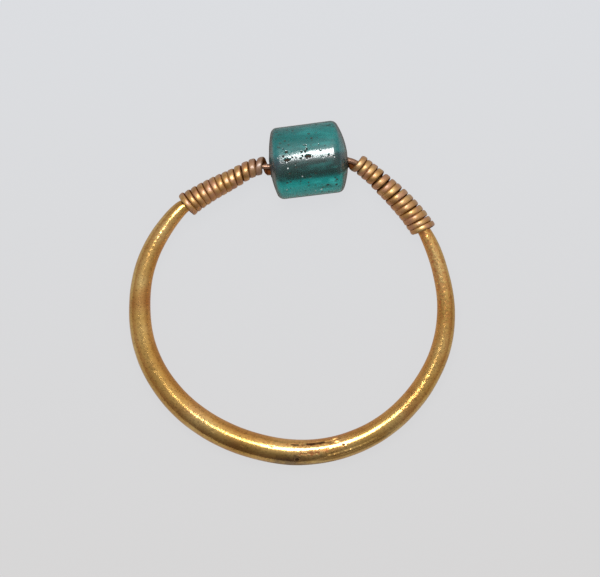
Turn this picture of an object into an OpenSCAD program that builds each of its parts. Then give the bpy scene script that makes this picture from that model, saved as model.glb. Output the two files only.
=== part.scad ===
// Finger ring. A gold rod is bent into a hoop, thick at the back and thin at the shoulders.
// Its two ends are drawn out into wire. They pass each other inside a drilled beryl
// cylinder and are wound round the opposite shoulders. The ring lies on its side: the
// bead and the back of the hoop both touch the surface at z = 0.

/* [Hoop] */
// Radius from the hoop's centre to the middle of the rod, on average
hoop_r = 9.1; // [8.95:0.05:9.3]
// Thickness of the rod at the back of the hoop, its thickest place
back_d = 1.6; // [1.4:0.05:1.8]

/* [Drawn-out ends] */
// Thickness of the rod's ends where they enter the bead
core_d = 0.34; // [0.3:0.01:0.35]
// Thickness of the wound wire
wire_d = 0.34; // [0.3:0.01:0.35]
// Space left between one piece and the next
gap = 0.025; // [0.015:0.005:0.03]

/* [Bead] */
// Diameter of the beryl cylinder
bead_d = 4.33; // [4:0.01:4.4]
// Length of the bead between the tops of its two domed ends
bead_len = 4.72; // [4.4:0.01:4.8]
// Rounding of the bead's two rims
rim_r = 0.45; // [0.2:0.05:0.6]
// Radius of the dome on the left end
left_dome = 6.5; // [5:0.1:9]
// Radius of the dome on the right end
right_dome = 4.6; // [4:0.1:9]
// Diameter of the drilled hole
bore_d = 0.9; // [0.86:0.01:1]
// How far the hole lies off the bead's axis, towards the finger
bore_drop = 0.28; // [0.1:0.02:0.5]
// How far the bead leans from the ring's crosswise line, in degrees
bead_lean = 6.9; // [4:0.1:9]

/* [Hidden] */

rod_sides = 16;
rod_step = 2.75;
wire_sides = 8;
steps_per_turn = 16;
wire_reach = 1.3;
bead_fn = 96;
bore_fn = 48;

gold = [0.80, 0.62, 0.25];
wire_gold = [0.74, 0.55, 0.30];
beryl = [0.16, 0.50, 0.46];

// Middle of the hoop, and middle of the bead as seen from there
hoop_at = [0.028, -0.60];
bead_at = [0.96, hoop_r - 0.535];

// The hole is a straight line. bore_reach is its nearest distance to the hoop's centre and
// bore_turn is the bearing of that nearest point.
bore_turn = 90 + bead_lean;
bore_reach = bead_at * [cos(bore_turn), sin(bore_turn)] - bore_drop;
left_mouth = mouth_of(-1);
right_mouth = mouth_of(1);
meeting = (left_mouth + right_mouth) / 2;
meeting_gap = 0.2;

// The two wires lie side by side across the hole and make a quarter turn in it
pair_half = (core_d + wire_d) / 4 + gap / 2;

// Columns of the rod's table: bearing anticlockwise from the right, distance of the rod's
// middle outside hoop_r, height above the hoop's plane, thickness
BEARING = 0;
OUT = 1;
LIFT = 2;
THICK = 3;
rod_table = concat(
    [for (a = [meeting, (meeting + left_mouth) / 2, left_mouth]) bore_row(a, 1, 0)],
    [
        [104.6, -0.65, 0, core_d],
        [115.5, -0.84, 0, core_d + 0.08],
        [124.0, -0.775, 0, 0.35 * back_d],
        [132.0, -0.62, 0, 0.42 * back_d],
        [136.2, -0.48, 0, 0.48 * back_d],
        [140.0, -0.34, 0, 0.57 * back_d],
        [150.0, -0.22, 0, 0.67 * back_d],
        [165.0, -0.04, 0, 0.75 * back_d],
        [180.0,  0.04, 0, 0.81 * back_d],
        [195.0,  0.12, 0, 0.86 * back_d],
        [210.0,  0.07, 0, 0.91 * back_d],
        [225.0, -0.05, 0, 0.97 * back_d],
        [240.0, -0.17, 0, back_d],
        [255.0, -0.21, 0, back_d],
        [270.0, -0.11, 0, 0.99 * back_d],
        [285.0,  0.01, 0, 0.94 * back_d],
        [300.0,  0.11, 0, 0.90 * back_d],
        [315.0,  0.17, 0, 0.85 * back_d],
        [330.0,  0.20, 0, 0.79 * back_d],
        [345.0,  0.21, 0, 0.74 * back_d],
        [360.0,  0.09, 0, 0.67 * back_d],
        [372.0, -0.04, 0, 0.61 * back_d],
        [384.0, -0.09, 0, 0.55 * back_d],
        [389.3, -0.11, 0, 0.49 * back_d],
        [394.4, -0.155, 0, 0.47 * back_d],
        [403.0, -0.195, 0, 0.41 * back_d],
        [411.6, -0.16, 0, 0.32 * back_d],
        [418.7,  0.00, 0.04, core_d + 0.08],
        [424.4,  0.12, 0.13, core_d + 0.01],
    ],
    [for (a = [right_mouth, (meeting + right_mouth) / 2, meeting]) bore_row(a, -1, 360)]
);

// Spacing of the turns along the shoulder, from the bead outwards
left_pitch = [0.42, 0.46, 0.52, 0.46, 0.39, 0.42, 0.40, 0.40, 0.42, 0.40, 0.40, 0.40];
right_pitch = [0.38, 0.38, 0.41, 0.53, 0.51, 0.38, 0.51, 0.46, 0.42, 0.46, 0.39, 0.46, 0.41];

// Route of each winding: turns made, counted from the first pass over the top face, and
// bearing. The first rows lead out of the bore and bend into the first turn.
left_first = 103.8;
left_spread = 6.45;
left_route = concat(
    [
        [-0.875, meeting + meeting_gap],
        [-0.76, left_mouth - 0.3],
        [-0.70, left_mouth + 1.1],
        [-0.50, left_mouth + 1.7],
        [-0.25, left_mouth + 2.4],
    ],
    turn_rows(left_pitch, left_first, left_spread),
    [[12.42, left_first + left_spread * sum(left_pitch, 12) + 1]]
);
right_first = 424.2;
right_spread = -6.06;
right_route = concat(
    [
        [-0.625, meeting - meeting_gap + 360],
        [-0.51, right_mouth + 0.3 + 360],
        [-0.44, right_mouth - 1.3 + 360],
        [-0.25, right_mouth - 3.2 + 360],
    ],
    turn_rows(right_pitch, right_first, right_spread),
    [[13.42, right_first + right_spread * sum(right_pitch, 13) - 1]]
);

// Tilt that lets the bead and the back of the hoop rest on one flat surface
back_reach = hoop_r - 0.15;
ring_tilt = asin((bead_d - back_d) / 2 / (bead_at[1] + back_reach));
hoop_lift = bead_d / 2 - (hoop_at[1] + bead_at[1]) * sin(ring_tilt);

function sum(list, n) = n == 0 ? 0 : list[n - 1] + sum(list, n - 1);
function unit(v) = v / norm(v);

// Bearing of the bore's mouth at one end of the bead
function mouth_of(side) =
    let (spot = bead_at + side * bead_len / 2 * [cos(bead_lean), sin(bead_lean)]
        - bore_drop * [cos(bore_turn), sin(bore_turn)])
    atan2(spot[1], spot[0]);

// One row of the rod's table inside the bore. side is 1 for the left end, -1 for the right.
function bore_row(a, side, whole_turn) =
    let (turn = 90 * (left_mouth - a) / (left_mouth - right_mouth))
    [
        a + whole_turn,
        (bore_reach + side * pair_half * cos(turn)) / cos(a - bore_turn) - hoop_r,
        -side * pair_half * sin(turn),
        core_d
    ];

// Turn number and bearing of each turn of a winding
function turn_rows(pitch, first, spread) =
    [for (k = [0 : len(pitch)]) [k, first + spread * sum(pitch, k)]];

// Smooth curve through one column of a table
function slope(table, col, i) =
    let (j = max(i - 1, 0), k = min(i + 1, len(table) - 1))
    (table[k][col] - table[j][col]) / (table[k][BEARING] - table[j][BEARING]);
function row_before(table, x, i = 0) =
    i >= len(table) - 2 || table[i + 1][BEARING] >= x ? i : row_before(table, x, i + 1);
function smooth(table, col, x) =
    let (
        i = row_before(table, x),
        h = table[i + 1][BEARING] - table[i][BEARING],
        t = (x - table[i][BEARING]) / h,
        rise = table[i + 1][col] - table[i][col],
        from = slope(table, col, i) * h - rise,
        to = rise - slope(table, col, i + 1) * h
    )
    table[i][col] + t * rise + t * (1 - t) * ((1 - t) * from + t * to);

// A point by bearing, distance from the hoop's centre and height above its plane
function spot(a, reach, lift) =
    [hoop_at[0] + reach * cos(a), hoop_at[1] + reach * sin(a), lift];
function rod_spot(a) = spot(a, hoop_r + smooth(rod_table, OUT, a), smooth(rod_table, LIFT, a));
function rod_thick(a) = smooth(rod_table, THICK, a);

// A point of a winding after a number of turns. hand is 1 where the wire passes over the
// top face from the outside in, and -1 where it passes from the inside out. The rod grows
// thicker towards the hoop, so the wire clears its thickness wire_reach degrees further on.
function wound_spot(route, turns, hand) =
    let (
        a = lookup(turns, route),
        round = 90 + hand * 360 * turns,
        off = (rod_thick(a + hand * wire_reach) + wire_d) / 2 + gap
    )
    rod_spot(a) + off * [cos(round) * cos(a), cos(round) * sin(a), sin(round)];

// Rings of points swept along a path. lean[i] is a direction across the path at point i.
function rings(path, lean, thick, sides) =
    [for (i = [0 : len(path) - 1])
        let (
            last = len(path) - 1,
            along = unit(path[min(i + 1, last)] - path[max(i - 1, 0)]),
            out = unit(lean[i] - (lean[i] * along) * along),
            up = cross(along, out)
        )
        for (s = [0 : sides - 1])
            path[i] + thick[i] / 2 * (cos(360 * s / sides) * out + sin(360 * s / sides) * up)];

module sweep(path, lean, thick, sides) {
    last = len(path) - 1;
    side_faces = [for (i = [0 : last - 1], s = [0 : sides - 1])
        let (n = (s + 1) % sides)
        each [
            [i * sides + s, (i + 1) * sides + n, i * sides + n],
            [i * sides + s, (i + 1) * sides + s, (i + 1) * sides + n]
        ]];
    start_cap = [for (s = [0 : sides - 1]) s];
    end_cap = [for (s = [sides - 1 : -1 : 0]) last * sides + s];
    polyhedron(
        points = rings(path, lean, thick, sides),
        faces = concat(side_faces, [start_cap, end_cap]),
        convexity = 8
    );
}

// Stands a flat ring on its resting points
module rest() {
    translate([0, 0, hoop_lift]) rotate([ring_tilt, 0, 0]) children();
}

module hoop() {
    from = meeting + meeting_gap;
    to = meeting + 360 - meeting_gap;
    count = ceil((to - from) / rod_step);
    bearings = [for (i = [0 : count]) from + (to - from) * i / count];
    color(gold)
        rest()
            sweep(
                [for (a = bearings) rod_spot(a)],
                [for (a = bearings) [cos(a), sin(a), 0]],
                [for (a = bearings) rod_thick(a)],
                rod_sides
            );
}

module winding(route, hand) {
    from = route[0][0];
    to = route[len(route) - 1][0];
    count = ceil((to - from) * steps_per_turn);
    turns = [for (i = [0 : count]) from + (to - from) * i / count];
    path = [for (t = turns) wound_spot(route, t, hand)];
    color(wire_gold)
        rest()
            sweep(
                path,
                [for (i = [0 : count]) path[i] - rod_spot(lookup(turns[i], route))],
                [for (t = turns) wire_d],
                wire_sides
            );
}

module winding_left() {
    winding(left_route, 1);
}

module winding_right() {
    winding(right_route, -1);
}

// Half of the bead's outline at one end: the dome, then the rounded rim
function bead_end(dome) =
    let (
        bead_r = bead_d / 2,
        dome_at = bead_len / 2 - dome,
        meet = asin((bead_r - rim_r) / (dome - rim_r)),
        rim_at = dome_at + (dome - rim_r) * cos(meet)
    )
    concat(
        [for (i = [0 : 6]) dome * [sin(meet * i / 6), cos(meet * i / 6)] + [0, dome_at]],
        [for (i = [1 : 6])
            let (a = meet + (90 - meet) * i / 6)
            [bead_r - rim_r, rim_at] + rim_r * [sin(a), cos(a)]]
    );

module bead() {
    left_half = bead_end(left_dome);
    outline = concat(
        bead_end(right_dome),
        [for (i = [len(left_half) - 1 : -1 : 0]) [left_half[i][0], -left_half[i][1]]]
    );
    middle = hoop_at + bead_at;
    color(beryl)
        translate([middle[0], middle[1], bead_d / 2])
            rotate([0, 0, bead_lean])
                difference() {
                    rotate([0, 90, 0]) rotate_extrude($fn = bead_fn) polygon(outline);
                    translate([0, -bore_drop, 0])
                        rotate([0, 90, 0])
                            cylinder(d = bore_d, h = bead_len + 1, center = true, $fn = bore_fn);
                }
}

hoop();
winding_left();
winding_right();
bead();
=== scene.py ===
import math
import random

import bpy
import numpy as np
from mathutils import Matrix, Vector, noise


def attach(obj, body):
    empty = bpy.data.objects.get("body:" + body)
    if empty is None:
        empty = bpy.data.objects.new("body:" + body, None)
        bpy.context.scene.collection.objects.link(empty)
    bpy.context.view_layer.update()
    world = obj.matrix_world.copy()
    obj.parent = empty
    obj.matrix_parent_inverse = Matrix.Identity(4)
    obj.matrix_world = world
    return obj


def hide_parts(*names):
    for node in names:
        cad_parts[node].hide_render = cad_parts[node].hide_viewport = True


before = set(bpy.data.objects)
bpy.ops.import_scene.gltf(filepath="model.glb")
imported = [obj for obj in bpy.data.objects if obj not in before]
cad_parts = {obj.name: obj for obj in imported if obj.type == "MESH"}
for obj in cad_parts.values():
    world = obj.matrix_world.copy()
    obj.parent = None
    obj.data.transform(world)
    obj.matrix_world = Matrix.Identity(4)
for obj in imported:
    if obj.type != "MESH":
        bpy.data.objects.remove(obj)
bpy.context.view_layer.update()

mm = 0.001
print("stage: frame loaded")


def linear(code):
    # sRGB hex to the linear colour that the shaders want
    out = []
    for i in (1, 3, 5):
        c = int(code[i:i + 2], 16) / 255
        out.append(c / 12.92 if c <= 0.04045 else ((c + 0.055) / 1.055) ** 2.4)
    return (*out, 1.0)


def grey(v):
    return (v, v, v, 1.0)


def addNode(tree, kind, inputs=None, stops=(), **settings):
    # one node: a socket plugs in, a node plugs in its first output, and anything else is a value
    # a colour mix has its factor at 0, its two colours at 6 and 7 and its result at 2
    n = tree.nodes.new("ShaderNode" + kind)
    for key, value in settings.items():
        setattr(n, key, value)
    for key, item in (inputs or {}).items():
        if isinstance(item, bpy.types.Node):
            item = item.outputs[0]
        if isinstance(item, bpy.types.NodeSocket):
            tree.links.new(item, n.inputs[key])
        else:
            n.inputs[key].default_value = item
    for k, (place, colour) in enumerate(stops):
        stop = n.color_ramp.elements[k] if k < 2 else n.color_ramp.elements.new(place)
        stop.position = place
        stop.color = colour
    return n


def newMaterial(name):
    mat = bpy.data.materials.new(name)
    mat.use_nodes = True
    mat.node_tree.nodes.clear()
    return mat, mat.node_tree


# millimetres and degrees, the same sizes as the solids
ring = {
    "hoopRadius": 9.1,
    "backThick": 1.6,
    "backInside": 0.15,    # how far inside that radius the middle of the rod lies at the back
    "coreThick": 0.34,
    "wireThick": 0.34,
    "gap": 0.025,
    "beadThick": 4.33,
    "beadLength": 4.72,
    "rimRadius": 0.45,
    "leftDome": 6.5,
    "rightDome": 4.6,
    "boreThick": 0.9,
    "boreDrop": 0.28,
    "beadLean": 6.9,
    "hoopAt": (0.028, -0.60),
    "beadAt": (0.96, 8.565),
    "meetingGap": 0.2,
    "wireReach": 1.3,
    "looseFirst": 0.05,
}


def cosd(a):
    return np.cos(np.radians(a))


def sind(a):
    return np.sin(np.radians(a))


boreTurn = 90 + ring["beadLean"]
boreReach = ring["beadAt"][0] * cosd(boreTurn) + ring["beadAt"][1] * sind(boreTurn) - ring["boreDrop"]


def mouthOf(side):
    # bearing of the hole's mouth at one end of the bead
    half = side * ring["beadLength"] / 2
    x = ring["beadAt"][0] + half * cosd(ring["beadLean"]) - ring["boreDrop"] * cosd(boreTurn)
    y = ring["beadAt"][1] + half * sind(ring["beadLean"]) - ring["boreDrop"] * sind(boreTurn)
    return math.degrees(math.atan2(y, x))


leftMouth = mouthOf(-1)
rightMouth = mouthOf(1)
meeting = (leftMouth + rightMouth) / 2
pairHalf = (ring["coreThick"] + ring["wireThick"]) / 4 + ring["gap"] / 2
tilt = math.degrees(math.asin((ring["beadThick"] - ring["backThick"]) / 2
                              / (ring["beadAt"][1] + ring["hoopRadius"] - ring["backInside"])))
hoopLift = ring["beadThick"] / 2 - (ring["hoopAt"][1] + ring["beadAt"][1]) * sind(tilt)


def boreRow(bearing, side, wholeTurn):
    # the two wires cross over inside the hole: one row of the rod's table there
    turn = 90 * (leftMouth - bearing) / (leftMouth - rightMouth)
    out = (boreReach + side * pairHalf * cosd(turn)) / cosd(bearing - boreTurn) - ring["hoopRadius"]
    return (bearing + wholeTurn, out, -side * pairHalf * sind(turn), ring["coreThick"])


# the tapered rod: bearing, distance outside the mean radius, thickness against the back's
armTable = [
    (124.0, -0.775, 0.35),
    (132.0, -0.62, 0.42),
    (136.2, -0.48, 0.48),
    (140.0, -0.34, 0.57),
    (150.0, -0.22, 0.67),
    (165.0, -0.04, 0.75),
    (180.0, 0.04, 0.81),
    (195.0, 0.12, 0.86),
    (210.0, 0.07, 0.91),
    (225.0, -0.05, 0.97),
    (240.0, -0.17, 1.00),
    (255.0, -0.21, 1.00),
    (270.0, -0.11, 0.99),
    (285.0, 0.01, 0.94),
    (300.0, 0.11, 0.90),
    (315.0, 0.17, 0.85),
    (330.0, 0.20, 0.79),
    (345.0, 0.21, 0.74),
    (360.0, 0.09, 0.67),
    (372.0, -0.04, 0.61),
    (384.0, -0.09, 0.55),
    (389.3, -0.11, 0.49),
    (394.4, -0.155, 0.47),
    (403.0, -0.195, 0.41),
    (411.6, -0.16, 0.32),
]
core = ring["coreThick"]
# the whole rod from hole to hole: bearing, distance outside, lift off the hoop's plane, thickness
rodTable = np.array(
    [boreRow(a, 1, 0) for a in (meeting, (meeting + leftMouth) / 2, leftMouth)]
    + [(104.6, -0.65, 0, core), (115.5, -0.84, 0, core + 0.08)]
    + [(bearing, out, 0, share * ring["backThick"]) for bearing, out, share in armTable]
    + [(418.7, 0.00, 0.04, core + 0.08), (424.4, 0.12, 0.13, core + 0.01)]
    + [boreRow(a, -1, 360) for a in (rightMouth, (meeting + rightMouth) / 2, meeting)]
)


def smoothColumn(column, x):
    # the same curve through the rows as the solids have
    xs, ys = rodTable[:, 0], rodTable[:, column]
    last = len(xs) - 1
    before = np.maximum(np.arange(last + 1) - 1, 0)
    after = np.minimum(np.arange(last + 1) + 1, last)
    slope = (ys[after] - ys[before]) / (xs[after] - xs[before])
    i = np.clip(np.searchsorted(xs, x) - 1, 0, last - 1)
    h = xs[i + 1] - xs[i]
    t = (x - xs[i]) / h
    rise = ys[i + 1] - ys[i]
    start = slope[i] * h - rise
    end = rise - slope[i + 1] * h
    return ys[i] + t * rise + t * (1 - t) * ((1 - t) * start + t * end)


def rodSpot(bearing):
    reach = ring["hoopRadius"] + smoothColumn(1, bearing)
    return np.stack([ring["hoopAt"][0] + reach * cosd(bearing),
                     ring["hoopAt"][1] + reach * sind(bearing),
                     smoothColumn(2, bearing)], -1)


def rodThick(bearing):
    return smoothColumn(3, bearing)


def lieDown(points):
    # flat ring to the pose in which bead and hoop rest on the floor
    c, s = cosd(tilt), sind(tilt)
    x, y, z = points[..., 0], points[..., 1], points[..., 2]
    return np.stack([x, y * c - z * s, y * s + z * c + hoopLift], -1)


def unitRows(v):
    return v / np.linalg.norm(v, axis=-1, keepdims=True)


def sectionFrames(path, lean):
    # two directions across the path: the one nearest to lean, and the one square to it
    along = unitRows(np.gradient(path, axis=0))
    out = unitRows(lean - np.sum(lean * along, -1, keepdims=True) * along)
    return out, np.cross(along, out)


def addObject(name, data):
    obj = bpy.data.objects.new(name, data)
    bpy.context.scene.collection.objects.link(obj)
    return obj


def gridMesh(name, points, closedRows=False):
    # rows x columns of points, closed round each row, made into one smooth mesh
    rows, cols, _ = points.shape
    verts = (points.reshape(-1, 3) * mm).tolist()
    faces = []
    for i in range(rows if closedRows else rows - 1):
        j = (i + 1) % rows
        for s in range(cols):
            n = (s + 1) % cols
            faces.append((i * cols + s, i * cols + n, j * cols + n, j * cols + s))
    if not closedRows:
        faces.append(tuple(range(cols - 1, -1, -1)))
        faces.append(tuple((rows - 1) * cols + s for s in range(cols)))
    mesh = bpy.data.meshes.new(name)
    mesh.from_pydata(verts, [], faces)
    mesh.update()
    mesh.polygons.foreach_set("use_smooth", [True] * len(mesh.polygons))
    return addObject(name, mesh)


def paint(obj, name, values):
    # one number at each point, for the material to read
    layer = obj.data.attributes.new(name, "FLOAT", "POINT")
    layer.data.foreach_set("value", np.asarray(values, np.float32).reshape(-1))


def cloud(points, size, seed):
    # smooth noise from about -1 to 1 at points given in mm
    shift = Vector((seed * 17.3, seed * 5.1, seed * 9.7))
    flat = points.reshape(-1, 3) / size
    out = np.fromiter((noise.noise(Vector(p) + shift) for p in flat.tolist()), np.float64, len(flat))
    return out.reshape(points.shape[:-1])


def bump(distance, width):
    return np.exp(-(distance / width) ** 2)


def softStep(low, high, x):
    t = np.clip((x - low) / (high - low), 0, 1)
    return t * t * (3 - 2 * t)


def window(x, setsIn, full, fades, gone):
    # 1 between full and fades, easing to 0 on both sides
    return softStep(setsIn, full, x) * softStep(gone, fades, x)


hoopLook = {
    "rings": 1080,
    "focus": (283, 20, 1.3),    # bearing of the marks, reach in degrees, how much closer the rings are
    "sides": 84,
    "crowding": 0.33,      # radians, so that the sides stand closer together on the seen face
    "hammer": 0.012,       # mm, planishing marks about 1.3 mm long
    "hammerSize": 1.3,
    "slender": 0.36,       # mm thick, the marks fade from the full rod to the drawn-out ends
    "stout": 0.9,
    "grain": 0.0035,       # mm, fine dimples of the worn surface
    "grainSize": 0.15,
    # bearings where a change of the grain sets in, is full, fades and is gone, and the change
    "grainZones": [
        (232, 262, 298, 326, -0.72),    # the back is worn smooth by the finger
        (141, 150, 172, 188, -0.60),    # burnished where the upper left arm was handled most
        (298, 314, 330, 342, 0.50),     # coarser on the lower right
        (342, 356, 450, 460, -0.50),    # a little burnished on the upper right arm
    ],
    "smoothFlank": (126, 144, 200, 220),     # angles round the rod, the finger's side
    "brushedFlank": (114, 128, 190, 210),
    "raggedSize": 0.16,    # mm, for the edges of the marks
    # bearing, angle round the rod from its outer side, length and width in mm, depth in mm, soil and
    # painted shade in it
    "marks": [
        (271.9, 60, 0.110, 0.105, 0.060, 1.0),    # the deep pit
        (272.0, 75, 0.10, 0.05, -0.010, 0.0),     # its burred lip
        (273.5, 14, 1.60, 0.170, 0.000, 0.42),    # painted shade along the outer edge, next to the table
        (277.6, 134, 0.30, 0.075, 0.050, 1.0),    # gouges inside the back
        (281.2, 137, 0.24, 0.062, 0.045, 1.0),
        (270.9, 131, 0.20, 0.058, 0.030, 0.9),
        (274.4, 131, 0.16, 0.045, 0.025, 0.7),
        (284.6, 133, 0.16, 0.045, 0.030, 0.7),
        (273.6, 99, 0.10, 0.030, 0.004, 0.40),    # dull spots along the foot of the shine
        (275.2, 100, 0.12, 0.032, 0.004, 0.45),
        (276.6, 103, 0.05, 0.040, 0.004, 0.60),
        (277.7, 100, 0.10, 0.034, 0.004, 0.45),
        (280.4, 103, 0.06, 0.040, 0.004, 0.60),
        (287.0, 146, 0.30, 0.085, -0.080, 0.0),   # bright burrs beside them
        (288.0, 130, 0.24, 0.065, -0.034, 0.0),
        (283.4, 144, 0.14, 0.050, -0.024, 0.0),
        (279.6, 148, 0.20, 0.050, -0.030, 0.0),
        (285.6, 126, 0.14, 0.040, 0.022, 0.5),
        (289.6, 127, 0.18, 0.040, 0.020, 0.4),
        (289.9, 101, 0.07, 0.050, 0.030, 0.8),
        (290.4, 94, 0.06, 0.040, -0.018, 0.0),
        (280.2, 58, 0.10, 0.040, -0.014, 0.0),
        (276.3, 37, 0.14, 0.060, -0.016, 0.0),
        (274.8, 88, 0.12, 0.040, 0.018, 0.5),
        (277.0, 89, 0.10, 0.040, 0.018, 0.5),
        (279.4, 87, 0.12, 0.040, 0.016, 0.4),
        (262.0, 110, 0.09, 0.045, 0.020, 0.4),
        (250.5, 78, 0.08, 0.040, 0.016, 0.3),
        (238.0, 84, 0.09, 0.050, 0.018, 0.4),
        (206.0, 92, 0.08, 0.045, 0.018, 0.4),
        (318.0, 96, 0.08, 0.045, 0.018, 0.3),
    ],
    # bearings between which each winding hides the rod, and the soil packed there, with painted shade
    # under the wire
    "underWire": [(104.0, 105.0, 134.2, 135.2), (390.6, 391.6, 423.0, 424.0)],
    "soilAndShadeUnderWire": 0.85,
    "lapFrom": 281.0,      # the fold in the metal on the lower right
    "lapTo": 305.0,
    "lapAngle": 61,
    "lapWander": 2.5,      # degrees to either side
    "lapWidth": 0.070,     # mm
    "lapDepth": 0.075,
    "lapGroove": 0.08,     # mm outside the line of the lap, and the lip inside it
    "lapLip": 0.03,
    "lapShadeAt": 0.17,     # mm outside the line
    "lapShadeShare": 0.72,
    "oval": 0.016,         # of its radius; the back was beaten a little out of round
    "ovalTurn": 150,
    "wear": 0.009,         # mm lost all round, and more at the back
    "wearAtBack": 0.012,
    "back": (215, 245, 300, 335),
    "stainAt": (269.4, 45),      # bearing and angle, and how far it spreads
    "stainSize": (6.6, 37),
    "stainEdge": 0.4,      # mm, size of the scallops in its edge
    # red-brown places: bearing and angle round the rod, their spread, strength
    "redPlaces": [
        (279.0, 133, 14.0, 18, 1.00),
        (277.8, 90, 7.0, 16, 1.00),
        (283.0, 96, 4.5, 13, 0.90),
        (301.0, 141, 9.0, 14, 0.50),
        (250.0, 140, 14.0, 16, 0.45),
        (206.0, 150, 16.0, 18, 0.15),
        (330.0, 140, 20.0, 16, 0.35),
        (367.0, 80, 28.0, 80, 0.55),
        (390.0, 90, 10.0, 90, 0.90),
        (372.0, 125, 24.0, 34, 0.85),
        (153.0, 90, 14.0, 90, 0.45),
        (206.0, 50, 22.0, 26, 0.35),
    ],
    "redEdge": 0.22,       # mm
    "redBreaks": 0.13,     # mm, gaps in the reddened skin
    "redDepth": 0.012,     # mm, it lies a little lower
    "brownEnds": 12,       # degrees from the bead over which the drawn-out ends turn brown
}


def bearingRows(start, end, count, focus, reach, extra):
    # rows that stand closer together round the marks at the back
    fine = np.linspace(start, end, 4000)
    density = 1 + extra * bump(fine - focus, reach)
    total = np.concatenate([[0], np.cumsum((density[1:] + density[:-1]) / 2)])
    return np.interp(np.linspace(0, total[-1], count), total, fine)


def makeHoop():
    look = hoopLook
    start = meeting + ring["meetingGap"]
    end = meeting + 360 - ring["meetingGap"]
    bearing = bearingRows(start, end, look["rings"], *look["focus"])
    path = rodSpot(bearing)
    lean = np.stack([cosd(bearing), sind(bearing), 0 * bearing], -1)
    out, down = sectionFrames(path, lean)
    up = -down   # towards the face that is seen from above
    thick = rodThick(bearing)
    even = np.arange(look["sides"]) * 360 / look["sides"]
    angle = even + np.degrees(look["crowding"]) * cosd(even)
    ray = out[:, None] * cosd(angle)[None, :, None] + up[:, None] * sind(angle)[None, :, None]
    base = path[:, None] + ray * thick[:, None, None] / 2
    lengthMm = np.radians(bearing)[:, None] * ring["hoopRadius"] + 0 * angle[None]

    bulk = softStep(look["slender"], look["stout"], thick)[:, None]
    marks = cloud(base * np.array([1, 1, 1.6]), look["hammerSize"], 1)
    fine = cloud(base, look["grainSize"], 2)
    grain = (0.4 + 0.6 * bulk) * (1 - 0.8 * window(angle, *look["smoothFlank"]))[None]
    for *causticLight, change in look["grainZones"]:
        grain = grain * (1 + change * window(bearing, *causticLight))[:, None]
    rise = bulk * look["hammer"] * marks + (0.3 + 0.7 * bulk) * look["grain"] * grain * fine

    atBack = window(bearing, *look["back"])[:, None]
    rise = rise - look["wear"] - atBack * look["wearAtBack"]
    squash = cosd(2 * (angle - look["ovalTurn"]))[None]
    rise = rise + atBack * look["oval"] * thick[:, None] / 2 * squash

    ragged = cloud(base, look["raggedSize"], 5)
    dark = np.zeros_like(rise)
    rubbed = np.zeros_like(rise)
    for place, turn, length, width, depth, soilAndShade in look["marks"]:
        aside = (angle - turn + 180) % 360 - 180
        gone = np.hypot((lengthMm - np.radians(place) * ring["hoopRadius"]) / length,
                        np.radians(aside)[None] * thick[:, None] / 2 / width)
        gone = gone * (1 + 0.35 * ragged)
        rise = rise - depth * bump(gone, 1.0)
        dark = np.maximum(dark, soilAndShade * softStep(1.9, 1.0, gone))
        if depth < 0:
            rubbed = np.maximum(rubbed, softStep(1.5, 0.8, gone))

    # soil is packed between the rod and the wire that is wound on it, and painted shade darkens the rod
    # there
    for covered in look["underWire"]:
        dark = np.maximum(dark, look["soilAndShadeUnderWire"] * window(bearing, *covered)[:, None])

    # lap: a shallow groove with a proud lip on the side towards the middle, and soil with painted shade
    # beyond it
    lapFrom, lapTo, lapWidth = look["lapFrom"], look["lapTo"], look["lapWidth"]
    wander = look["lapAngle"] + look["lapWander"] * sind(bearing * 9)
    offLap = np.radians(angle[None] - wander[:, None]) * thick[:, None] / 2
    lapped = window(bearing, lapFrom, lapFrom + 3, lapTo - 6, lapTo)[:, None]
    groove = bump(offLap + look["lapGroove"], lapWidth)
    lip = bump(offLap - look["lapLip"], lapWidth) * (0.80 + 0.6 * ragged)
    rise = rise + lapped * look["lapDepth"] * (0.8 * lip - groove)
    # painted shade beyond the lip
    lapShade = window(bearing, lapFrom - 5, lapFrom + 2, lapTo - 2, lapTo + 14)[:, None]
    lapShade = lapShade * bump(offLap + look["lapShadeAt"], lapWidth * 1.8)
    dark = np.maximum(dark, look["lapShadeShare"] * lapShade)

    def spread(place, size, noiseMm, seed):
        off = np.hypot((bearing[:, None] - place[0]) / size[0], (angle[None] - place[1]) / size[1])
        return softStep(1.3, 0.2, off + 0.5 * cloud(base, noiseMm, seed))

    stain = spread(look["stainAt"], look["stainSize"], look["stainEdge"], 6)
    redness = np.zeros_like(rise)
    for place, turn, wideTo, highTo, strength in look["redPlaces"]:
        patch = spread((place, turn), (wideTo, highTo), look["redEdge"], 7)
        redness = np.maximum(redness, strength * patch)
    redness = redness * softStep(-0.25, 0.25, cloud(base, look["redBreaks"], 8)) * (1 - rubbed)
    rise = rise - look["redDepth"] * redness

    # the finger's side is brushed by wear, so that it mirrors nothing sharply
    brushed = window(angle, *look["brushedFlank"])[None] + 0 * rise

    # the drawn-out ends are brown near the bead
    fromBead = np.minimum(bearing - leftMouth, rightMouth + 360 - bearing)
    brown = softStep(look["brownEnds"], 1, fromBead)[:, None] + 0 * rise

    surface = base + ray * rise[..., None]
    obj = gridMesh("hoopRod", lieDown(surface)[:, ::-1])
    for name, values in (("soilAndShade", dark), ("stain", stain), ("redness", redness), ("tarnish", brown),
                         ("grain", grain), ("brushed", brushed)):
        paint(obj, name, values[:, ::-1])
    return obj


hoopRod = makeHoop()
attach(hoopRod, "root")
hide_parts("hoop")
print("stage: hoop made")


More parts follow.
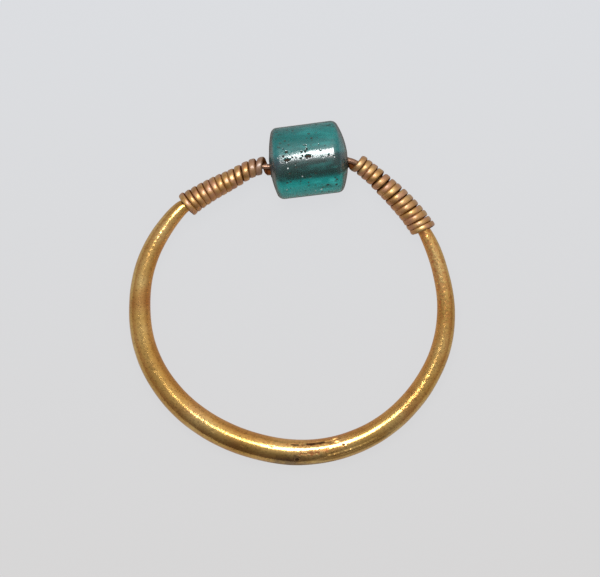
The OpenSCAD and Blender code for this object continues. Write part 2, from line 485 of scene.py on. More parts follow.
windLook = {
    "stepsPerTurn": 46,
    "sides": 28,
    "flatten": 0.98,     # height of the wire against the drawn one
    "squareness": 3.2,   # 2 is a round wire; worn and pressed ones are flatter on their backs
    "closeness": 0.975,  # share of the pitch that a turn fills, where turns are pressed together
    "widest": 0.405,     # mm
    "lastPart": 0.42,    # of a turn beyond the last full one
    "tipTurn": 0.035,    # turns over which the cut end is rounded
    "dentSizes": ((0.11, 1.0), (0.3, 0.6)),    # mm, and share
    "leftFirst": 103.8,  # bearing of the first turn at the bead, and degrees for each mm along it
    "leftSpread": 6.45,
    "rightFirst": 424.2,
    "rightSpread": -6.06,
    "soilAndShadeFrom": 0.11,    # soil and painted shade in the grooves, as shares of the way round to the rod
    "soilAndShadeFull": 0.37,
    "palest": -0.35,     # how far the tone of single turns goes, against the reddened wire
    "reddest": 0.55,
    "wave": 0.012,       # mm, unevenness of the hand-wound turns
    "dent": 0.010,       # mm, nicks and draw marks on the wire
}

# mm from one turn to the next, from the bead outwards
leftPitch = [0.42, 0.46, 0.52, 0.46, 0.39, 0.42, 0.40, 0.40, 0.42, 0.40, 0.39, 0.36]
rightPitch = [0.38, 0.38, 0.41, 0.53, 0.51, 0.38, 0.51, 0.46, 0.42, 0.46, 0.39, 0.43, 0.34]


def turnRows(pitch, first, spread):
    rows = [(k, first + spread * sum(pitch[:k])) for k in range(len(pitch) + 1)]
    return rows + [(len(pitch) + windLook["lastPart"], rows[-1][1] + math.copysign(1, spread))]


# turns counted from the first one over the top, and bearing; the wire comes out of the bead's hole
leftRoute = (
    [
        (-0.875, meeting + ring["meetingGap"]),
        (-0.76, leftMouth - 0.3),
        (-0.70, leftMouth + 1.1),
        (-0.50, leftMouth + 1.7),
        (-0.25, leftMouth + 2.4),
    ]
    + turnRows(leftPitch, windLook["leftFirst"], windLook["leftSpread"])
)
rightRoute = (
    [
        (-0.625, meeting - ring["meetingGap"] + 360),
        (-0.51, rightMouth + 0.3 + 360),
        (-0.44, rightMouth - 1.3 + 360),
        (-0.25, rightMouth - 3.2 + 360),
    ]
    + turnRows(rightPitch, windLook["rightFirst"], windLook["rightSpread"])
)


def makeWinding(name, route, pitch, hand, tarnishTurns, seed):
    look = windLook
    rows = np.array(route)
    count = int((rows[-1, 0] - rows[0, 0]) * look["stepsPerTurn"])
    turns = np.linspace(rows[0, 0], rows[-1, 0], count)
    bearing = np.interp(turns, rows[:, 0], rows[:, 1])
    # ease the corners of the route, which the real wire does not have
    ease = np.ones(9) / 9
    bearing[8:-8] = np.convolve(bearing, ease, "same")[8:-8]
    turned = 90 + hand * 360 * turns
    off = (rodThick(bearing + hand * ring["wireReach"]) + ring["wireThick"]) / 2 + ring["gap"]
    off = off + ring["looseFirst"] * np.maximum(0, 1 - 2 * np.abs(turns + 0.25 * hand))
    steps = np.stack([turns * 1.7, 0 * turns, 0 * turns], -1)
    wound = softStep(-0.6, 0.2, turns)
    off = off + look["wave"] * (cloud(steps, 1.0, seed) + 0.5) * wound
    centre = rodSpot(bearing)
    lean = np.stack([cosd(turned) * cosd(bearing), cosd(turned) * sind(bearing), sind(turned)], -1)
    path = centre + lean * off[:, None]
    out, side = sectionFrames(path, lean)
    angle = np.arange(look["sides"]) * 360 / look["sides"]
    half = ring["wireThick"] / 2
    tip = np.minimum(1, np.sqrt(np.clip((rows[-1, 0] - turns) / look["tipTurn"], 0.02, 1)))
    # a turn spreads sideways until it meets its neighbours
    nearest = np.minimum(np.interp(turns - 0.5, range(len(pitch)), pitch),
                         np.interp(turns, range(len(pitch)), pitch))
    wide = np.clip(nearest * look["closeness"], ring["wireThick"], look["widest"]) / 2
    wide = half + (wide - half) * wound
    power = 2 / look["squareness"]
    across, high = [np.sign(v) * np.abs(v) ** power for v in (sind(angle), cosd(angle))]
    high = high * look["flatten"]
    ray = (out[:, None] * high[None, :, None] * (half * tip)[:, None, None]
           + side[:, None] * across[None, :, None] * (wide * tip)[:, None, None])
    base = path[:, None] + ray
    (fineSize, fineShare), (broadSize, broadShare) = look["dentSizes"]
    nicks = fineShare * cloud(base, fineSize, seed + 1) + broadShare * cloud(base, broadSize, seed + 4)
    surface = base + unitRows(ray) * (look["dent"] * nicks)[..., None]
    # painted shade with soil: darker in the grooves and on the side towards the rod
    inward = (1 - cosd(angle))[None] / 2 * np.ones((count, 1))
    soilAndShade = softStep(look["soilAndShadeFrom"], look["soilAndShadeFull"], inward + 0.14 * cloud(base, 0.2, seed + 2))
    tarnish = softStep(tarnishTurns, tarnishTurns - 1.6, turns)[:, None] * np.ones_like(soilAndShade)
    redness = softStep(0.05, 0.5, cloud(base, 0.35, seed + 3) + 0.10)
    # each turn has its own tone
    rng = random.Random(seed)
    tones = [rng.uniform(look["palest"], look["reddest"]) for _ in pitch] + [0, 0]
    redness = np.clip(redness + np.interp(turns, range(-1, len(tones) - 1), tones)[:, None], 0, 1)
    obj = gridMesh(name, lieDown(surface))
    for label, values in (("soilAndShade", soilAndShade), ("tarnish", tarnish), ("redness", redness),
                          ("grain", 1 + 0 * soilAndShade)):
        paint(obj, label, values)
    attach(obj, "root")
    return obj


windingLeft = makeWinding("windingLeft", leftRoute, leftPitch, 1, 1.9, 11)
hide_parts("winding_left")
windingRight = makeWinding("windingRight", rightRoute, rightPitch, -1, 0.5, 21)
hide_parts("winding_right")
print("stage: windings made")


beadLook = {
    "cols": 400,
    "sideRows": 150,
    "rimRows": 12,
    "domeRows": 24,
    "boreRows": 16,
    "uneven": 0.006,      # mm, hand grinding left it a little out of true
    "unevenSize": 2.4,
    "height": 0.996,      # against its width
    "wear": 0.004,        # mm lost all round
    # pits in the polish: mm along the bead from its middle, mm across its axis, length, width, depth
    "pits": [
        (0.00, 0.20, 0.19, 0.090, 0.060),
        (-1.27, 0.12, 0.19, 0.095, 0.055),
        (1.24, 0.12, 0.060, 0.045, 0.040),
        (-0.46, 0.11, 0.050, 0.045, 0.035),
        (-0.33, 0.25, 0.045, 0.040, 0.030),
        (-1.25, 0.60, 0.090, 0.060, 0.040),
        (-1.47, 0.37, 0.055, 0.055, 0.035),
        (-1.44, 0.80, 0.040, 0.035, 0.025),
        (-0.36, 0.51, 0.065, 0.045, 0.035),
        (-0.13, 0.51, 0.060, 0.045, 0.035),
        (-0.02, 0.66, 0.050, 0.050, 0.030),
        (0.72, 0.82, 0.040, 0.035, 0.025),
        (1.08, 0.70, 0.035, 0.030, 0.022),
        (1.96, 0.65, 0.050, 0.045, 0.030),
        (-0.94, 0.24, 0.050, 0.035, 0.022),
        (-0.72, 0.20, 0.040, 0.030, 0.022),
        (1.54, -1.40, 0.055, 0.050, 0.035),
        (1.90, -1.45, 0.060, 0.060, 0.035),
        (0.98, -1.65, 0.075, 0.060, 0.040),
        (1.47, -1.70, 0.060, 0.050, 0.035),
        (-0.16, -1.38, 0.040, 0.035, 0.025),
        (-1.21, -1.23, 0.040, 0.040, 0.025),
        (-1.96, -1.29, 0.070, 0.060, 0.035),
    ],
    # painted light and shade in the body, paler and darker places: mm along, mm across, length, width,
    # strength
    "lightAndShadePatches": [
        (1.28, -1.42, 0.22, 0.13, 0.90),
        (1.50, -1.66, 0.16, 0.12, 0.80),
        (0.75, -1.90, 0.45, 0.07, 0.70),
        (0.38, -1.38, 0.30, 0.10, 0.50),
        (-1.57, -1.55, 0.40, 0.22, 0.45),
        (-0.60, -1.48, 0.50, 0.10, 0.35),
        (0.85, -1.76, 0.60, 0.08, -0.80),
        (-1.50, 1.55, 0.55, 0.35, -0.35),
        (0.30, 1.62, 0.70, 0.18, 0.30),
        (1.40, 1.30, 0.40, 0.40, 0.25),
        (-0.30, 1.15, 0.80, 0.12, -0.25),
        (0.20, 0.82, 1.30, 0.10, 0.25),
        (-1.70, -0.25, 0.30, 0.25, -0.60),
        (-1.10, -0.75, 0.80, 0.12, -0.25),
        (0.90, -0.45, 0.90, 0.14, 0.20),
    ],
    # small flakes in the stone, painted white where they glint: mm along, mm across, size
    "glintFlakes": [
        (-1.28, -0.40, 0.034), (-0.48, -0.98, 0.032), (-1.49, -1.65, 0.034),
        (-1.80, 0.29, 0.030), (0.56, -1.86, 0.050), (0.20, -1.90, 0.032),
    ],
    "morePits": 170,      # the same wear all round
    "morePitSizes": (0.022, 0.055),
    "chips": 12,          # along the lower right rim, between these two angles round the axis
    "chipsFrom": 195,
    "chipsTo": 250,
    "chipSizes": (0.05, 0.12),
    "groundOff": 0.030,   # mm, the left part is a little rounder on its upper side
    "pebble": 0.004,      # mm, where the polish is gone
    "pebbleSize": 0.055,
    "wornFrom": -2.0,     # mm along, the polish is whole beyond it
    # places where it is gone: mm along where each is strongest and ends, mm across, reach, strength
    "wornPlaces": [
        (-1.10, -0.10, 0.52, 0.26, 1.0),
        (0.00, 1.20, 0.56, 0.09, 0.8),      # the upper edge of the shine is speckled
        (-1.60, -1.15, 0.25, 0.70, 1.0),    # the shine ends early at the left
    ],
    # dusty film near the ends, with painted reflection of the slanting right end: mm along, reach, mm
    # across, reach
    "dustAndReflectionPlaces": [(-2.05, 0.42, 0.1, 0.75), (2.0, 0.22, 0.1, 0.9)],
    "dustAndReflectionShare": 0.55,
    "matteFrom": 0.34,    # mm across, below the shine the polish is duller
    "matteTo": 0.10,
}


def beadEnd(dome):
    # outline of one end: where dome and rim are centred, from the bead's middle, and where they meet
    rim = ring["rimRadius"]
    domeAt = ring["beadLength"] / 2 - dome
    meet = math.asin((ring["beadThick"] / 2 - rim) / (dome - rim))
    return domeAt, domeAt + (dome - rim) * math.cos(meet), meet


def makeBead():
    look = beadLook
    cols = look["cols"]
    angle = np.arange(cols) * 2 * math.pi / cols
    circle = np.stack([0 * angle, np.cos(angle), np.sin(angle)], -1)
    boreMiddle = np.array([0, -ring["boreDrop"], 0])
    boreRadius = ring["boreThick"] / 2
    radius = ring["beadThick"] / 2
    rows, shell = [], []

    def addRow(x, wide, blendToBore=0.0, isShell=1.0):
        rows.append(circle * wide + np.array([x, 0, 0]) + boreMiddle * blendToBore)
        shell.append(isShell)

    def domeRows(dome, sign, order):
        domeAt, _, meet = beadEnd(dome)
        edge = dome * math.sin(meet)
        for k in order:
            f = k / look["domeRows"]
            wide = boreRadius + (edge - boreRadius) * f
            centreShift = boreMiddle * (1 - f)
            points = circle * wide + centreShift
            fromAxis = np.hypot(points[:, 1], points[:, 2])
            points[:, 0] = sign * (domeAt + np.sqrt(dome ** 2 - fromAxis ** 2))
            rows.append(points)
            shell.append(1.0)

    def rimRows(dome, sign, order):
        _, rimAt, meet = beadEnd(dome)
        rim = ring["rimRadius"]
        for k in order:
            a = meet + (math.pi / 2 - meet) * k / look["rimRows"]
            addRow(sign * (rimAt + rim * math.cos(a)), radius - rim + rim * math.sin(a))

    n, m = look["domeRows"], look["rimRows"]
    domeRows(ring["leftDome"], -1, range(0, n + 1))
    rimRows(ring["leftDome"], -1, range(1, m + 1))
    leftX = -beadEnd(ring["leftDome"])[1]
    rightX = beadEnd(ring["rightDome"])[1]
    for x in np.linspace(leftX, rightX, look["sideRows"] + 2)[1:-1]:
        addRow(x, radius)
    rimRows(ring["rightDome"], 1, range(m, 0, -1))
    domeRows(ring["rightDome"], 1, range(n, -1, -1))
    half = ring["beadLength"] / 2 - 0.02
    for x in np.linspace(half, -half, look["boreRows"]):
        flare = 1 + 0.10 * softStep(half - 0.5, half, abs(x))
        addRow(x, boreRadius * flare * 0.985, 1.0, 0.0)

    points = np.array(rows)
    isShell = np.array(shell)[:, None]
    # outward direction of the surface, from the grid itself
    downRow = np.roll(points, -1, 0) - np.roll(points, 1, 0)
    roundRow = np.roll(points, -1, 1) - np.roll(points, 1, 1)
    outward = unitRows(np.cross(roundRow, downRow))

    x, y, z = points[..., 0], points[..., 1], points[..., 2]
    rise = look["uneven"] * cloud(points, look["unevenSize"], 31) - look["wear"]
    # the upper left is ground rounder, so the shine is narrower there
    rise = rise - look["groundOff"] * softStep(2.0, -1.8, x) * softStep(0.15, 0.75, y)
    # worn patches: a fine pebble that breaks up the shine
    patch = softStep(look["wornFrom"], look["wornFrom"] + 0.4, x) * (z > 0)
    ragged = 0.30 * cloud(points, 0.16, 37)
    worn = np.zeros_like(x)
    for full, ends, across, reach, strength in look["wornPlaces"]:
        place = softStep(ends, full, x + ragged) * bump(y - across, reach)
        worn = np.maximum(worn, strength * patch * place)
    allOver = softStep(0.25, 0.6, cloud(points, 0.8, 34))
    worn = np.clip(worn + 0.15 * allOver * (z < 0.9), 0, 1)
    rise = rise + worn * look["pebble"] * cloud(points, look["pebbleSize"], 32)
    soilAndShade = np.zeros(points.shape[:2])
    glintFlake = np.zeros(points.shape[:2])
    rough = 1 + 0.35 * cloud(points, 0.07, 35)
    rng = random.Random(41)
    pits = []
    for along, across, length, width, depth in look["pits"]:
        pits.append((along, across, math.sqrt(radius ** 2 - across ** 2), length, width, depth, 1.0))
    for _ in range(look["morePits"]):
        turn = rng.uniform(0, 2 * math.pi)
        size = rng.uniform(*look["morePitSizes"])
        along = rng.uniform(leftX - 0.2, rightX + 0.2)
        pits.append((along, radius * math.cos(turn), radius * math.sin(turn),
                     size * rng.uniform(1, 1.6), size, size * 0.3, rng.uniform(0.35, 0.95)))

    def away(px, py, pz, length, width):
        return np.sqrt(((x - px) / length) ** 2 + ((y - py) ** 2 + (z - pz) ** 2) / width ** 2) * rough

    for *spot, depth, share in pits:
        gone = away(*spot)
        rise = rise - depth * softStep(1.25, 0.55, gone)
        soilAndShade = np.maximum(soilAndShade, share * softStep(1.25, 0.85, gone))
    for along, across, size in look["glintFlakes"]:
        gone = away(along, across, math.sqrt(radius ** 2 - across ** 2), size, size)
        glintFlake = np.maximum(glintFlake, softStep(1.25, 0.85, gone))
    for _ in range(look["chips"]):
        turn = math.radians(rng.uniform(look["chipsFrom"], look["chipsTo"]))
        along = rightX - rng.uniform(-0.15, 0.45)
        gone = away(along, radius * math.cos(turn), -radius * math.sin(turn) * 0.75, 1, 1)
        size = rng.uniform(*look["chipSizes"])
        rise = rise - 0.3 * size * bump(gone, size)
        soilAndShade = np.maximum(soilAndShade, 0.5 * bump(gone, size * 0.8))
    # soil caught inside the hole and round its mouths
    toBore = np.hypot(y + ring["boreDrop"], z) - boreRadius
    mouth = bump(np.maximum(toBore, 0), 0.16) * (np.abs(x) > half - 0.4)
    inside = (1 - isShell) * np.ones_like(soilAndShade)
    crumbs = 0.3 * cloud(points, 0.3, 33) * (mouth + inside)
    soilAndShade = np.maximum(soilAndShade, np.clip(0.8 * mouth + inside + crumbs, 0, 1))

    # a dusty film near the ends, which also paints the reflection on the slanting end face
    film = 0 * x
    for along, alongReach, across, acrossReach in look["dustAndReflectionPlaces"]:
        film = film + look["dustAndReflectionShare"] * bump(x - along, alongReach) * bump(y - across, acrossReach)
    film = np.clip(film + 0.25 * cloud(points, 0.35, 36) * film, 0, 1) * (z > 0)
    matte = softStep(look["matteFrom"], look["matteTo"], y) * (z > 0)
    # painted light: the stone is paler towards its lower side, where light through it gathers
    causticLight = softStep(-1.0, 1.6, y) * np.ones_like(soilAndShade)
    # painted light and shade seen in the stone: paler and darker places, over a random cloudiness
    body = 0.22 * cloud(points * np.array([0.35, 1.0, 1.0]), 0.20, 38)
    for px, py, length, width, strength in look["lightAndShadePatches"]:
        gone = np.hypot((x - px) / length, (y - py) / width)
        body = body + strength * bump(gone * (1 + ragged), 1.0)
    pale = np.clip(body, 0, 1) * (z > 0)
    shadeInStone = np.clip(-body, 0, 1) * (z > 0)

    surface = points + outward * (rise * isShell)[..., None]
    lean = math.radians(ring["beadLean"])
    x, y, z = surface[..., 0], surface[..., 1], surface[..., 2]
    placed = np.stack([
        x * math.cos(lean) - y * math.sin(lean) + ring["hoopAt"][0] + ring["beadAt"][0],
        x * math.sin(lean) + y * math.cos(lean) + ring["hoopAt"][1] + ring["beadAt"][1],
        np.maximum(z * look["height"] + radius, 0.002),
    ], -1)
    obj = gridMesh("berylBead", placed, closedRows=True)
    for label, values in (("soilAndShade", soilAndShade), ("worn", worn), ("glintFlake", glintFlake), ("film", film),
                          ("causticLight", causticLight), ("pale", pale), ("shadeInStone", shadeInStone), ("matte", matte)):
        paint(obj, label, values)
    return obj


berylBead = makeBead()
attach(berylBead, "root")
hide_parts("bead")
print("stage: bead made")


# what lies on the gold, as painted on the pieces
skins = {
    "rougher": {"soilAndShade": 0.50, "redness": 0.12, "brushed": 0.16, "tarnish": 0.12},
    "lessMetal": {"soilAndShade": 0.95, "redness": 0.18, "tarnish": 0.45},
    "rednessShare": 0.80,    # how far the strongest places take on the colour
    "stainShare": 0.68,
    "smoother": 0.07,      # burnished and dull specks, against the mean roughness
    "duller": 0.10,
}


def goldMaterial(name, look):
    # metal keeps its default IOR; its colour is its base colour
    mat, tree = newMaterial(name)
    where = addNode(tree, "TexCoord").outputs["Object"]
    pattern, painted = {}, {}
    for size, detail, share in (("patchMm", 3.0, 0.5), ("redMm", 4.0, 0.5), ("speckleMm", 2.0, 0.6),
                                ("speckMm", 2.0, 0.5), ("reliefMm", 3.0, 0.65)):
        scale = 1 / (look[size] * mm)
        pattern[size] = addNode(tree, "TexNoise", {
            "Vector": where, "Scale": scale, "Detail": detail, "Roughness": share})
    for label in ("soilAndShade", "redness", "tarnish", "stain", "brushed", "grain"):
        painted[label] = addNode(tree, "Attribute", attribute_name=label).outputs["Fac"]

    # colour: gold in three tones, then reddened skin, brown film, stain, specks of soil, packed soil
    # with painted shade
    tone = addNode(tree, "ValToRGB", {0: pattern["patchMm"]}, [
        (0.35, linear(look["deep"])),
        (0.50, linear(look["main"])),
        (0.66, linear(look["pale"])),
    ])
    red = addNode(tree, "ValToRGB", {0: pattern["redMm"]},
                  [(0.50, grey(0)), (0.72, grey(look["redShare"]))])
    specks = addNode(tree, "ValToRGB", {0: pattern["speckleMm"]},
                     [(0.54, grey(0)), (0.68, grey(look["speckleShare"]))])
    covers = {}
    for label, share in (("redness", skins["rednessShare"]), ("stain", skins["stainShare"]),
                         ("soilAndShade", look["soilAndShadeShare"])):
        covers[label] = addNode(tree, "Math", {0: painted[label], 1: share}, operation="MULTIPLY")
    redness = addNode(tree, "Math", {0: red, 1: covers["redness"]}, operation="MAXIMUM")
    colour = tone
    for factor, over in ((redness, "red"), (painted["tarnish"], "brown"), (covers["stain"], "stain"),
                         (specks, "soilAndShade"), (covers["soilAndShade"], "soilAndShade")):
        colour = addNode(tree, "Mix", {0: factor, 6: colour, 7: linear(look[over])},
                         data_type="RGBA").outputs[2]

    # satin, with tiny burnished and dull specks, and rougher where something lies on it
    rough = addNode(tree, "ValToRGB", {0: pattern["speckMm"]}, [
        (0.35, grey(look["rough"] - skins["smoother"])),
        (0.65, grey(look["rough"] + skins["duller"])),
    ])
    satin = addNode(tree, "Math", {0: 1.0, 1: painted["grain"]}, operation="SUBTRACT", use_clamp=True)
    rougher = [(painted[label], share) for label, share in skins["rougher"].items()]
    for factor, share in rougher + [(satin, look["satin"])]:
        rough = addNode(tree, "Math", {0: factor, 1: share, 2: rough},
                        operation="MULTIPLY_ADD", use_clamp=True)

    # soil with painted shade, and the brown skin by the bead, are not metal
    metal = 1.0
    for label, share in skins["lessMetal"].items():
        metal = addNode(tree, "Math", {0: painted[label], 1: -share, 2: metal},
                        operation="MULTIPLY_ADD", use_clamp=True)

    # fine dents that make the shine of old gold soft and grainy
    relief = addNode(tree, "Math", {0: pattern["reliefMm"], 1: painted["grain"]}, operation="MULTIPLY")
    lift = addNode(tree, "Bump", {
        "Height": relief, "Strength": look["reliefStrength"], "Distance": look["reliefDeep"] * mm})
    # the coat is the thin film on an old surface: it whitens the soft shine where there is no soil
    clean = addNode(tree, "Math", {0: 1.0, 1: painted["soilAndShade"]}, operation="SUBTRACT", use_clamp=True)
    film = addNode(tree, "Math", {0: clean, 1: look["film"]}, operation="MULTIPLY")
    shade = addNode(tree, "BsdfPrincipled", {
        "Base Color": colour,
        "Metallic": metal,
        "Roughness": rough,
        "Normal": lift,
        "Specular IOR Level": look["soilGloss"],
        "Coat Weight": film,
        "Coat Normal": lift,
        "Coat Roughness": look["filmRough"],
        "Coat IOR": look["filmIor"],
    })
    addNode(tree, "OutputMaterial", {"Surface": shade})
    return mat


# high-carat gold rod, hammered, bent and worn to a satin: fine bright specks in a soft highlight
hammeredGold = goldMaterial("highCaratGoldHammered", {
    "main": "#e3b465",
    "deep": "#d2a152",
    "pale": "#ecc57c",
    "patchMm": 2.5,
    "red": "#b9683a",
    "redShare": 0.40,
    "redMm": 1.6,
    "brown": "#9a7660",
    "stain": "#6b5a50",
    "soilAndShade": "#2c1606",
    "soilAndShadeShare": 0.95,
    "soilGloss": 0.15,
    "speckleMm": 0.11,
    "speckleShare": 0.42,
    "rough": 0.10,
    "speckMm": 0.07,
    "satin": 0.08,         # added where the grain is worn away
    "reliefMm": 0.07,
    "reliefStrength": 0.48,
    "reliefDeep": 0.015,   # mm
    "film": 0.22,
    "filmRough": 0.38,
    "filmIor": 1.5,
})
# gold wire, drawn by hand and wound tight: paler, with brown soil and painted shade in the grooves
drawnGold = goldMaterial("goldWireDrawn", {
    "main": "#cd9b4a",
    "deep": "#bb8536",
    "pale": "#dcb268",
    "patchMm": 0.8,
    "red": "#ba845f",
    "redShare": 0.5,
    "redMm": 0.7,
    "brown": "#967156",
    "stain": "#8d7358",
    "soilAndShade": "#6a3408",
    "soilAndShadeShare": 0.92,
    "soilGloss": 0.15,
    "speckleMm": 0.10,
    "speckleShare": 0.20,
    "rough": 0.42,
    "speckMm": 0.05,
    "satin": 0.0,
    "reliefMm": 0.06,
    "reliefStrength": 0.3,
    "reliefDeep": 0.012,
    "film": 1.0,
    "filmRough": 0.33,
    "filmIor": 1.8,
})


def berylMaterial():
    # beryl, sawn and ground round, drilled and polished, its polish dulled by wear:
    # a blue-green body, hazy inside, with a thin shine on top and soil in its pits
    look = {
        # the body's tint, paler on its lower side: painted light, where light through the stone gathers
        "upper": "#58d4d2",
        "lower": "#7cf6ee",
        "absorb": (0.05, 0.785, 0.782, 1.0),   # red, green and blue that the body lets by
        "density": 1300.0,     # per metre
        "ior": 1.577,
        "skinIor": 1.66,       # the polish throws back a little more than the body
        # colours over the stone: a paler one of painted light, a darker one of painted shade, a dusty
        # film that also paints reflection, the painted dark outline, and white for flakes where they
        # glint
        "pale": "#58dcd6",
        "shadeInStone": "#2c4238",
        "soilAndShade": "#352a20",
        "film": "#6c7690",
        "edge": "#3c2b20",
        "glintFlake": "#fbffff",
        "hazeMm": 0.05,
        "rough": (0.20, 0.34),
        "wornStrength": 0.5,
        "wornDeep": 0.02,      # mm
        "matteShare": 0.65,
        # how much of the stone each layer hides where it is strongest
        "shares": {"pale": 0.45, "shadeInStone": 0.55, "film": 0.30, "soilAndShade": 1.0, "glintFlake": 1.0},
    }
    mat, tree = newMaterial("berylPolished")
    where = addNode(tree, "TexCoord").outputs["Object"]
    painted = {}
    for label in ("causticLight", "worn", "matte", *look["shares"]):
        painted[label] = addNode(tree, "Attribute", attribute_name=label).outputs["Fac"]

    # painted light: the tint is paler towards the lower side
    tint = addNode(tree, "Mix", {0: painted["causticLight"], 6: linear(look["lower"]), 7: linear(look["upper"])},
                   data_type="RGBA").outputs[2]
    haze = addNode(tree, "TexNoise", {
        "Vector": where, "Scale": 1 / (look["hazeMm"] * mm), "Detail": 3.0})
    rough = addNode(tree, "ValToRGB", {0: haze},
                    [(0.35, grey(look["rough"][0])), (0.70, grey(look["rough"][1]))])
    # wear shows as a fine pebble in the shine
    pebble = addNode(tree, "Math", {0: haze, 1: painted["worn"]}, operation="MULTIPLY")
    lift = addNode(tree, "Bump", {
        "Height": pebble, "Strength": look["wornStrength"], "Distance": look["wornDeep"] * mm})
    # at a slant the coat is less glossy, and the outline gets painted shade in dark brown
    slant = addNode(tree, "LayerWeight", {"Normal": lift}).outputs["Facing"]
    skin = {}
    for use, source, low, high, atLow, atHigh in (("gloss", slant, 0.04, 0.20, 1.0, 0.08),
                                                  ("darkOutline", slant, 0.76, 0.97, 0.0, 0.85),
                                                  ("kept", painted["worn"], 0.3, 1.0, 1.0, 0.10),
                                                  ("scuffed", painted["worn"], 0.3, 1.0, 0.04, 0.30)):
        skin[use] = addNode(tree, "MapRange", {
            "Value": source, "From Min": low, "From Max": high, "To Min": atLow, "To Max": atHigh})
    polished = addNode(tree, "Math", {0: painted["matte"], 1: -look["matteShare"], 2: 1.0},
                       operation="MULTIPLY_ADD")
    gloss = skin["gloss"]
    for share in (skin["kept"], polished):
        gloss = addNode(tree, "Math", {0: gloss, 1: share}, operation="MULTIPLY")
    stone = addNode(tree, "BsdfPrincipled", {
        "Base Color": tint,
        "Roughness": rough,
        "IOR": look["ior"],
        "Normal": lift,
        "Transmission Weight": 0.97,
        "Specular IOR Level": 0.1,
        "Coat Weight": gloss,
        "Coat Roughness": skin["scuffed"],
        "Coat IOR": look["skinIor"],
        "Coat Normal": lift,
    })
    # painted shade: the dark brown outline
    edge = addNode(tree, "BsdfDiffuse", {"Color": linear(look["edge"])})
    surface = addNode(tree, "MixShader", {0: skin["darkOutline"], 1: stone, 2: edge})
    # over the stone: paler places of painted light and darker ones of painted shade, a dusty film with
    # painted reflection at the ends, soil in the pits, and flakes painted white where they glint
    layers = {}
    for label in ("pale", "shadeInStone"):
        layers[label] = addNode(tree, "BsdfDiffuse", {"Color": linear(look[label])})
    for label, roughness in (("film", 0.6), ("soilAndShade", 0.9), ("glintFlake", 0.35)):
        layers[label] = addNode(tree, "BsdfPrincipled", {
            "Base Color": linear(look[label]), "Roughness": roughness})
    for label, share in look["shares"].items():
        hides = addNode(tree, "Math", {0: painted[label], 1: share}, operation="MULTIPLY")
        surface = addNode(tree, "MixShader", {0: hides, 1: surface, 2: layers[label]})
    inside = addNode(tree, "VolumeAbsorption", {
        "Color": look["absorb"], "Density": look["density"]})
    addNode(tree, "OutputMaterial", {"Surface": surface, "Volume": inside})
    return mat


beryl = berylMaterial()
for piece, material in ((hoopRod, hammeredGold), (windingLeft, drawnGold), (windingRight, drawnGold),
                        (berylBead, beryl)):
    piece.data.materials.append(material)
print("stage: materials made")


studio = {
    "pixelMm": 0.06,          # one pixel of the picture
    "pictureWidth": 600,
    "cameraAt": (0.487, 0.264),   # mm, the picture's middle
    "cameraHigh": 500.0,      # mm
    "focusHigh": 0.8,         # mm, height at which the picture's scale holds
    "floorTop": "#f1f3f7",    # a shade cooler at the picture's top
    "floorBottom": "#ecebeb",
    "floorMatte": 0.03,
    "floorGlow": 0.775,
    "floorGlowInMetal": 0.52,
    "floorOutside": "#f4f6f6",
    "floorInMetal": "#f4dcd2",    # warm: painted light, as the metal's own glow comes back from the table
    "warmFades": 3.0,         # mm outside the hoop
    "keyAt": (-9, 41, 130),   # mm, a small softbox close above the bead's side
    "keyWide": 51,            # mm
    "keyDeep": 57,
    "keyBright": 12.5,        # how many times brighter than white
    "skyBright": 0.66,
    "skyDark": 0.24,
    "darkFrom": -0.68,        # the room darkens towards the picture's foot between these heights
    "darkTo": 0.20,
    "darkSides": 0.72,        # less so to the sides, and a little less to the right
    "darkLean": 0.13,
    "skyLowShare": 0.65,      # how bright the room's foot is against its top
    "paleSideAt": (55, 37),   # bearing and height of the room's paler side, degrees
    "paleSide": 0.35,
    "skyTop": "#f7f8fa",
    "skyLow": "#f0d9cf",
}


def makeFloor():
    mesh = bpy.data.meshes.new("floor")
    far = 0.8   # m
    corners = [(-far, -far, 0), (far, -far, 0), (far, far, 0), (-far, far, 0)]
    mesh.from_pydata(corners, [], [(0, 1, 2, 3)])
    floor = addObject("floor", mesh)
    # pale lit table: it glows a little, so that the ring throws hardly any shadow
    mat, tree = newMaterial("frostedTable")
    rays = addNode(tree, "LightPath").outputs
    seen = addNode(tree, "Math", {0: rays["Is Camera Ray"], 1: rays["Is Transmission Ray"]},
                   operation="MAXIMUM")
    power = addNode(tree, "MapRange", {
        "Value": seen, "To Min": studio["floorGlowInMetal"], "To Max": studio["floorGlow"]})
    where = addNode(tree, "TexCoord").outputs["Object"]
    upward = addNode(tree, "SeparateXYZ", {0: where}).outputs["Y"]
    half = studio["pixelMm"] * studio["pictureWidth"] / 2 * mm
    fromFoot = addNode(tree, "MapRange", {"Value": upward, "From Min": -half, "From Max": half})
    fromRing = addNode(tree, "VectorMath", {0: where}, operation="LENGTH").outputs["Value"]
    beyond = addNode(tree, "MapRange", {
        "Value": fromRing, "From Min": ring["hoopRadius"] * mm,
        "From Max": (ring["hoopRadius"] + studio["warmFades"]) * mm})
    tints = {}
    for use, factor, low, high in (("seen", fromFoot, "floorBottom", "floorTop"),
                                   ("inMetal", beyond, "floorInMetal", "floorOutside")):
        tints[use] = addNode(tree, "Mix", {
            0: factor, 6: linear(studio[low]), 7: linear(studio[high])}, data_type="RGBA").outputs[2]
    tint = addNode(tree, "Mix", {0: seen, 6: tints["inMetal"], 7: tints["seen"]},
                   data_type="RGBA").outputs[2]
    glow = addNode(tree, "Emission", {"Strength": power, "Color": tint})
    matte = addNode(tree, "BsdfDiffuse", {"Color": grey(studio["floorMatte"])})
    both = addNode(tree, "AddShader", {0: glow, 1: matte})
    addNode(tree, "OutputMaterial", {"Surface": both})
    mesh.materials.append(mat)


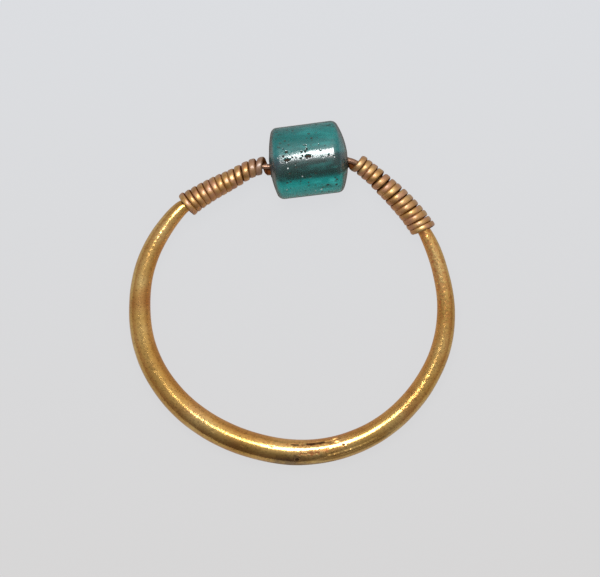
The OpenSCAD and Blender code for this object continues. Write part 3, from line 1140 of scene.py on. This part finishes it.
def makeLight():
    lamp = bpy.data.lights.new("softbox", "AREA")
    lamp.shape = "RECTANGLE"
    lamp.size = studio["keyWide"] * mm
    lamp.size_y = studio["keyDeep"] * mm
    lamp.energy = studio["keyBright"] * math.pi * lamp.size * lamp.size_y
    obj = addObject("softbox", lamp)
    obj.location = Vector(studio["keyAt"]) * mm
    obj.rotation_euler = obj.location.to_track_quat("Z", "Y").to_euler()
    obj.visible_transmission = False


def makeSky():
    world = bpy.data.worlds.new("room")
    bpy.context.scene.world = world
    world.use_nodes = True
    tree = world.node_tree
    tree.nodes.clear()
    ray = addNode(tree, "TexCoord")
    parts = addNode(tree, "SeparateXYZ", {0: ray}).outputs
    # darker only towards the picture's foot
    aside = addNode(tree, "Math", {0: parts["X"]}, operation="ABSOLUTE")
    towardsTop = parts["Y"]
    for way, share in ((aside, studio["darkSides"]), (parts["X"], studio["darkLean"])):
        towardsTop = addNode(tree, "Math", {0: way, 1: share, 2: towardsTop}, operation="MULTIPLY_ADD")
    shade = addNode(tree, "MapRange", {
        "Value": towardsTop, "From Min": studio["darkFrom"], "From Max": studio["darkTo"],
        "To Min": studio["skyDark"], "To Max": studio["skyBright"]}, interpolation_type="SMOOTHSTEP")
    squared = addNode(tree, "Math", {0: parts["Z"], 1: parts["Z"]}, operation="MULTIPLY")
    height = addNode(tree, "MapRange", {"Value": squared, "To Min": studio["skyLowShare"]})
    # a paler side, up and to the right
    turn, rise = studio["paleSideAt"]
    towards = (cosd(turn) * cosd(rise), sind(turn) * cosd(rise), sind(rise))
    facing = addNode(tree, "VectorMath", {0: ray, 1: towards}, operation="DOT_PRODUCT")
    paleSide = addNode(tree, "MapRange", {
        "Value": facing.outputs["Value"], "From Min": 0.50, "From Max": 1.0,
        "To Max": studio["paleSide"]}, interpolation_type="SMOOTHSTEP")
    shade = addNode(tree, "Math", {0: shade, 1: height, 2: paleSide}, operation="MULTIPLY_ADD")
    # where it is seen directly it is at its full brightness
    seen = addNode(tree, "LightPath").outputs["Is Camera Ray"]
    seen = addNode(tree, "Math", {0: seen, 1: studio["skyBright"]}, operation="MULTIPLY")
    power = addNode(tree, "Math", {0: shade, 1: seen}, operation="MAXIMUM")
    low = addNode(tree, "MapRange", {"Value": parts["Z"], "From Min": 0.9, "From Max": 0.1})
    tint = addNode(tree, "Mix", {
        0: low, 6: linear(studio["skyTop"]), 7: linear(studio["skyLow"])}, data_type="RGBA").outputs[2]
    sky = addNode(tree, "Background", {"Strength": power, "Color": tint})
    addNode(tree, "OutputWorld", {"Surface": sky})


def makeCamera():
    cam = bpy.data.cameras.new("camera")
    cam.sensor_width = 36
    wide = studio["pixelMm"] * studio["pictureWidth"]
    cam.lens = (studio["cameraHigh"] - studio["focusHigh"]) / wide * cam.sensor_width
    cam.clip_start = 0.01
    cam.clip_end = 10
    obj = addObject("camera", cam)
    obj.location = Vector((*studio["cameraAt"], studio["cameraHigh"])) * mm
    bpy.context.scene.camera = obj


makeFloor()
makeLight()
makeSky()
makeCamera()
bpy.context.scene.view_settings.view_transform = "Standard"
print("stage: floor, light and camera made")
